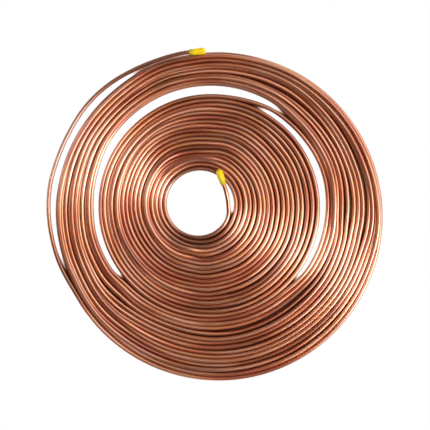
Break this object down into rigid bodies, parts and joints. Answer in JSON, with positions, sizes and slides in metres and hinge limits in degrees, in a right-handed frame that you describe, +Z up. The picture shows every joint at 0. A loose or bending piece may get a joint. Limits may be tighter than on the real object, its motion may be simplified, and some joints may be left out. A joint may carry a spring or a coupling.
{
  "type": "copper tube coil",
  "caption": "Soft small-bore copper tube wound as a flat round pancake coil in two groups of turns with an open centre, both free ends closed by push-on vinyl caps.",
  "frame": {"origin": "centre of the coil's footprint, on the surface that it lies on", "axes": "+Z up out of the coil's upper face; the crescent gap between the two groups of turns is widest towards +Y, and the outer free end bows out towards -X"},
  "size_m": [0.2554, 0.2514, 0.0087],
  "materials": {
    "copper": "bright soft-drawn copper, lightly tarnished, with fine marks along the tube",
    "cap_vinyl": "dipped yellow vinyl, satin"
  },
  "bodies": {
    "root": {"copper_tube": "copper", "inner_end_cap": "cap_vinyl", "outer_end_cap": "cap_vinyl"}
  },
  "joints": []
}
